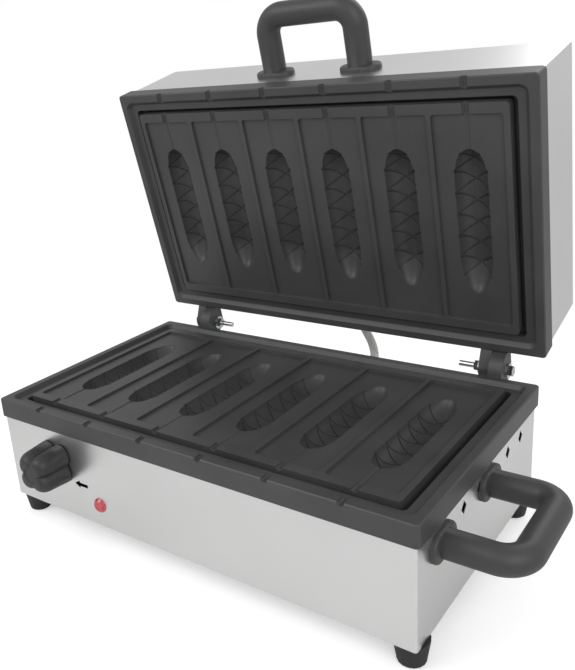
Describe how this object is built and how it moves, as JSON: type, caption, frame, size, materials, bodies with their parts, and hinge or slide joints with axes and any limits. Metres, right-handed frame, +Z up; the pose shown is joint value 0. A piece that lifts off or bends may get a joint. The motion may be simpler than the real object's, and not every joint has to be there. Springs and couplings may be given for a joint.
{
  "type": "electric crepe maker",
  "caption": "Countertop double-plate cooker for rolled crepes on sticks, with a hinged lid, a side grab handle and a thermostat knob, standing open.",
  "frame": {"origin": "middle of the base on the standing plane", "axes": "+Z up, -Y towards the user, +X along the long side towards the side handle"},
  "size_m": [0.551, 0.4316, 0.5143],
  "materials": {
    "stainless_sheet": "satin",
    "plain_sheet": "satin",
    "coated_casting": "satin",
    "element_sheath": "matte",
    "zinc_steel": "satin",
    "screw_steel": "satin",
    "foot_rubber": "matte",
    "black_handle": "satin",
    "black_knob": "satin",
    "cream_plastic": "matte",
    "copper_tube": "satin",
    "red_lens": "gloss",
    "lamp_plastic": "matte",
    "gland_plastic": "matte",
    "sleeve": "matte",
    "fibre": "matte"
  },
  "bodies": {
    "base": {"base_casing": "stainless_sheet", "bottom_cover": "plain_sheet", "bottom_cover_screws": "screw_steel", "lower_plate": "coated_casting", "lower_plate_screws": "screw_steel", "lower_heating_element": "element_sheath", "lower_clamp_bars": "zinc_steel", "lower_studs": "zinc_steel", "lower_stud_nuts": "zinc_steel", "lower_heat_shield": "plain_sheet", "left_front_foot": "foot_rubber", "left_rear_foot": "foot_rubber", "right_front_foot": "foot_rubber", "right_rear_foot": "foot_rubber", "foot_screws": "screw_steel", "hinge_bolts": "zinc_steel", "hinge_washers": "zinc_steel", "hinge_nuts": "zinc_steel", "side_handle": "black_handle", "side_handle_screws": "screw_steel", "thermostat_body": "cream_plastic", "thermostat_screws": "screw_steel", "thermostat_sensing_bulb": "copper_tube", "pilot_lamp_lens": "red_lens", "pilot_lamp_body": "lamp_plastic", "terminal_block": "cream_plastic", "power_cord_gland": "gland_plastic", "power_cord_gland_nut": "gland_plastic", "base_lead_grommet": "foot_rubber", "lid_lead": "sleeve"},
    "lid": {"upper_plate": "coated_casting", "upper_plate_screws": "screw_steel", "lid_cover": "stainless_sheet", "upper_heating_element": "element_sheath", "upper_clamp_bars": "zinc_steel", "upper_studs": "zinc_steel", "upper_stud_nuts": "zinc_steel", "upper_heat_shield": "plain_sheet", "lid_insulation": "fibre", "lid_handle": "black_handle", "lid_handle_screws": "screw_steel", "lid_lead_grommet": "foot_rubber"},
    "knob": {"thermostat_knob": "black_knob", "thermostat_shaft": "zinc_steel"}
  },
  "joints": [
    {"name": "lid_hinge", "type": "hinge", "parent": "base", "child": "lid", "pos_m": [0, 0.161, 0.1378], "axis": [1, 0, 0], "range_deg": [0, 77.16], "deforming": ["lid_lead"]},
    {"name": "thermostat_turn", "type": "hinge", "parent": "base", "child": "knob", "pos_m": [-0.161, -0.138, 0.082], "axis": [0, 1, 0], "range_deg": [0, 300]}
  ]
}
